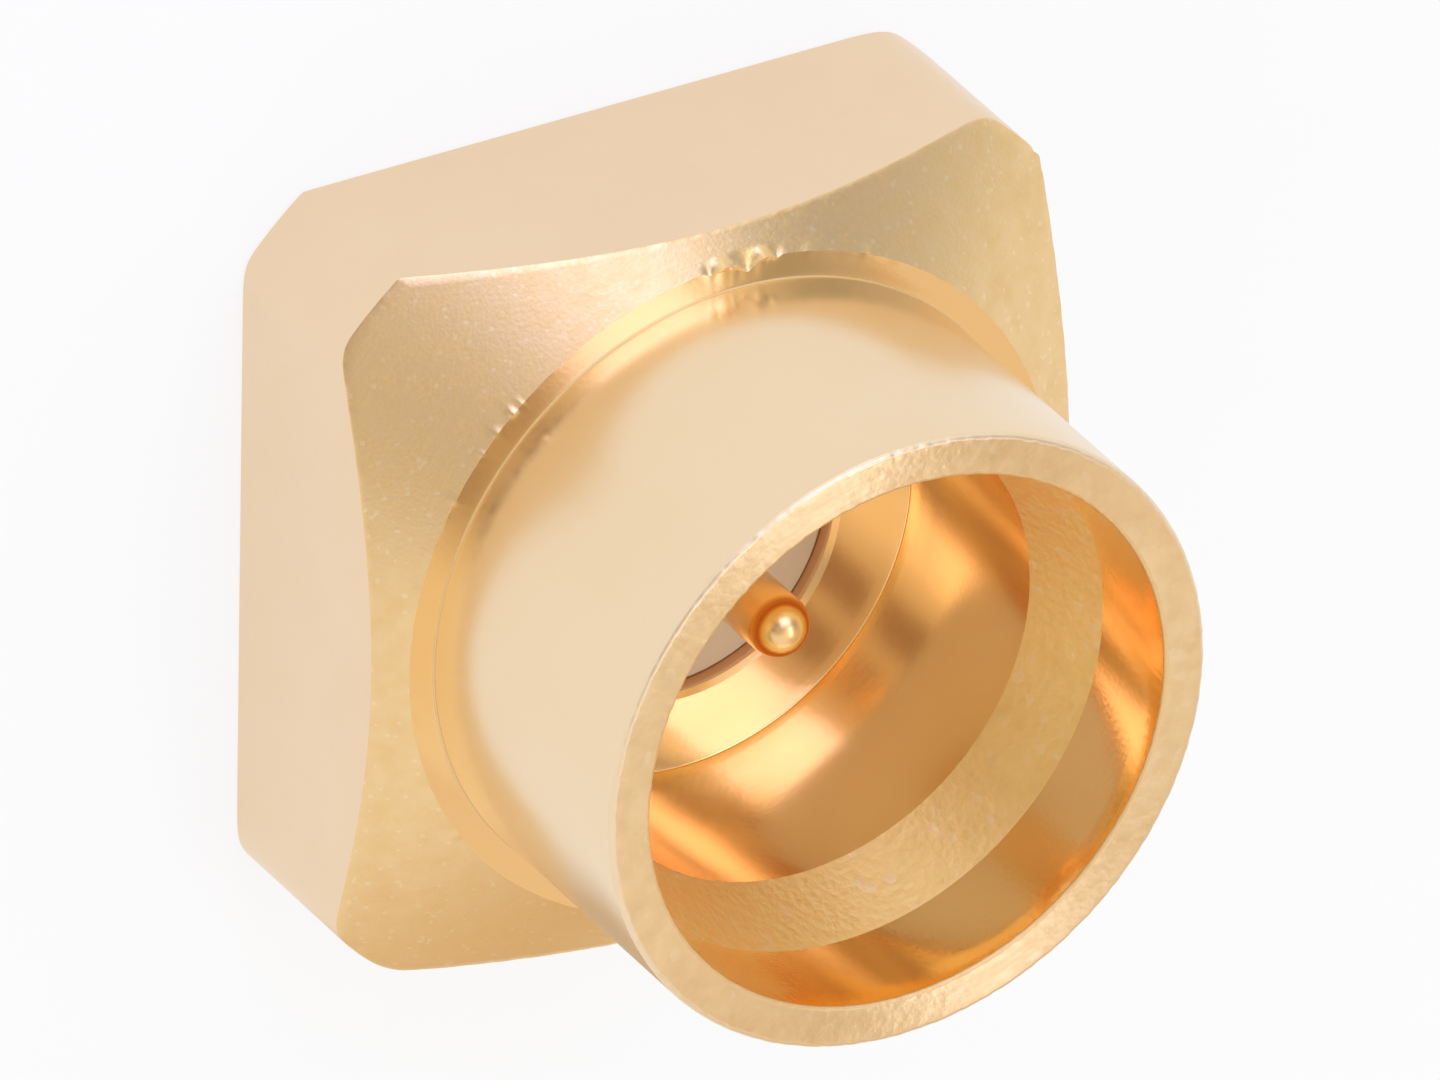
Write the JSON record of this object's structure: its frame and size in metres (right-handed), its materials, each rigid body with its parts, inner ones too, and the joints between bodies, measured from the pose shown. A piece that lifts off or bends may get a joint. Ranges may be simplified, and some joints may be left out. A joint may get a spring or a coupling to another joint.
{
  "type": "smp connector",
  "caption": "Surface-mount male SMP coaxial connector with a square flange, a thin round barrel, a smooth bore and a centre pin.",
  "frame": {"origin": "middle of the board face of the flange, on the barrel's axis", "axes": "+Z along the barrel towards the mouth; +X and +Y square to the flange's flats"},
  "size_m": [0.0046, 0.0046, 0.0036],
  "materials": {
    "gold_shell": "gold plated, as turned and milled",
    "gold_contact": "gold plated, bright",
    "bead": "machined waxy plastic"
  },
  "bodies": {
    "root": {"body": "gold_shell", "dielectric": "bead", "contact": "gold_contact"}
  },
  "joints": []
}
